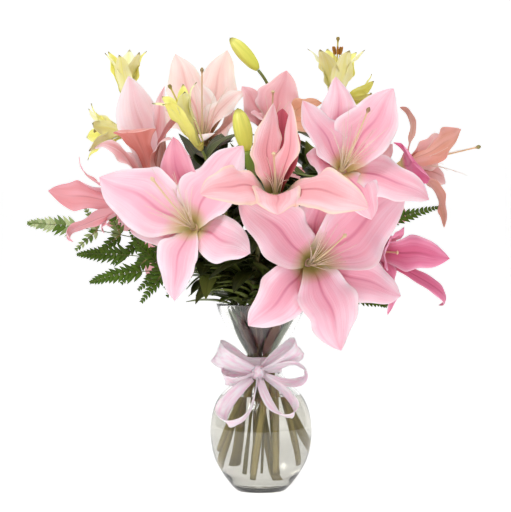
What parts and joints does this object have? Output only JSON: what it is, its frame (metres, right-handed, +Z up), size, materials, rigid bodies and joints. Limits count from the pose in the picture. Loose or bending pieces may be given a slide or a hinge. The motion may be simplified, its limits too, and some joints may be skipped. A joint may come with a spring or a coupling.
{
  "type": "lilies in a vase",
  "caption": "Bouquet of pink lilies with small yellow trumpet lilies, buds and fern in a clear trumpet vase of water tied with a satin bow.",
  "frame": {"origin": "middle of the vase's foot, on the table", "axes": "+Z up along the vase's axis, -Y towards the viewer in front of the bow, +X to the viewer's right"},
  "size_m": [0.4558, 0.3525, 0.4591],
  "materials": {
    "glass": "clear pressed glass",
    "water": "clear liquid",
    "ribbon": "satin",
    "fern": "waxy leaf",
    "stem": "waxy green stem and leaf",
    "pink_petal": "soft petal",
    "stamen": "soft plant tissue",
    "yellow_petal": "soft petal"
  },
  "bodies": {
    "root": {"bud_b1": "yellow_petal", "bud_b2": "yellow_petal", "frond_a": "fern", "frond_b": "fern", "frond_c": "fern", "frond_d": "fern", "frond_e": "fern", "frond_f": "fern", "frond_g": "fern", "frond_h": "fern", "lily_a_petals": "pink_petal", "lily_a_stamens": "stamen", "lily_b_petals": "pink_petal", "lily_b_stamens": "stamen", "lily_c_petals": "pink_petal", "lily_c_stamens": "stamen", "lily_d_petals": "pink_petal", "lily_d_stamens": "stamen", "lily_e_petals": "pink_petal", "lily_e_stamens": "stamen", "lily_f_petals": "pink_petal", "lily_f_stamens": "stamen", "lily_g_petals": "pink_petal", "lily_g_stamens": "stamen", "lily_i_petals": "pink_petal", "lily_i_stamens": "stamen", "lily_j_petals": "pink_petal", "lily_j_stamens": "stamen", "lily_k_petals": "pink_petal", "lily_k_stamens": "stamen", "lily_m_petals": "pink_petal", "lily_m_stamens": "stamen", "lily_n_petals": "pink_petal", "lily_n_stamens": "stamen", "lily_y1": "yellow_petal", "lily_y2": "yellow_petal", "lily_y3": "yellow_petal", "lily_y4": "yellow_petal", "lily_y5": "yellow_petal", "ribbon": "ribbon", "stem_s0": "stem", "stem_s1": "stem", "stem_s2": "stem", "stem_s3": "stem", "stem_s4": "stem", "stem_s5": "stem", "stem_s6": "stem", "stem_s7": "stem", "vase": "glass", "water": "water"}
  },
  "joints": []
}
